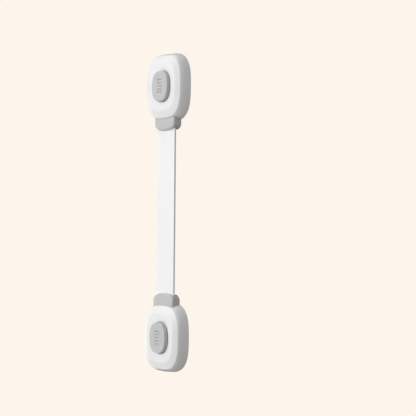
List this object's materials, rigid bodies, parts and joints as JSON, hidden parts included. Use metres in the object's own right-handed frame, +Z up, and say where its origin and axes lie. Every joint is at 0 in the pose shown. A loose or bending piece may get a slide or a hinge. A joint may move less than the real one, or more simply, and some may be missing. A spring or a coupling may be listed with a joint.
{
  "type": "cabinet safety strap lock",
  "caption": "Stick-on child-safety strap lock: oval push-button pods with spring latches joined by a flat flexible strap that plugs into each pod.",
  "frame": {"origin": "centre of the upper pod on the cabinet wall, in the plane of its adhesive face", "axes": "+Z up along the strap towards the upper pod, +X across the strap, +Y into the cabinet wall, so the buttons face -Y"},
  "size_m": [0.0318, 0.0123, 0.1913],
  "materials": {
    "white_abs": "satin moulded ABS",
    "grey_abs": "fine-textured moulded ABS",
    "strap_tpe": "smooth flexible TPE",
    "foam_tape": "closed-cell foam with adhesive",
    "spring_steel": "rolled strip",
    "zinc_steel": "zinc plated"
  },
  "bodies": {
    "upper_pod": {"upper_front_cover": "white_abs", "upper_base_plate": "white_abs", "upper_base_screws": "zinc_steel", "upper_latch_spring": "spring_steel", "upper_latch_screw": "zinc_steel", "upper_adhesive_pad": "foam_tape"},
    "upper_button": {"upper_push_button": "grey_abs"},
    "upper_strap": {"upper_plug_front": "grey_abs", "upper_plug_back": "grey_abs", "strap_upper_run": "strap_tpe", "strap_flex_section": "strap_tpe"},
    "lower_strap": {"strap_lower_run": "strap_tpe", "lower_plug_front": "grey_abs", "lower_plug_back": "grey_abs"},
    "lower_pod": {"lower_front_cover": "white_abs", "lower_base_plate": "white_abs", "lower_base_screws": "zinc_steel", "lower_latch_spring": "spring_steel", "lower_latch_screw": "zinc_steel", "lower_adhesive_pad": "foam_tape"},
    "lower_button": {"lower_push_button": "grey_abs"}
  },
  "joints": [
    {"name": "upper_button_press", "type": "slide", "parent": "upper_pod", "child": "upper_button", "axis": [0, 1, 0], "range_m": [0, 0.0014], "stiffness_N_per_m": 1500, "springref_m": -0.001, "deforming": ["upper_latch_spring"]},
    {"name": "lower_button_press", "type": "slide", "parent": "lower_pod", "child": "lower_button", "axis": [0, 1, 0], "range_m": [0, 0.0014], "stiffness_N_per_m": 1500, "springref_m": -0.001, "deforming": ["lower_latch_spring"]},
    {"name": "upper_plug_release", "type": "slide", "parent": "upper_pod", "child": "upper_strap", "axis": [0, 0, -1], "range_m": [0, 0.024]},
    {"name": "strap_bend", "type": "hinge", "parent": "upper_strap", "child": "lower_strap", "pos_m": [0, -0.0052, -0.075], "axis": [1, 0, 0], "range_deg": [-90, 90], "stiffness_Nm_per_rad": 0.003, "deforming": ["strap_flex_section"]},
    {"name": "lower_plug_release", "type": "slide", "parent": "lower_strap", "child": "lower_pod", "axis": [0, 0, -1], "range_m": [0, 0.024]}
  ]
}
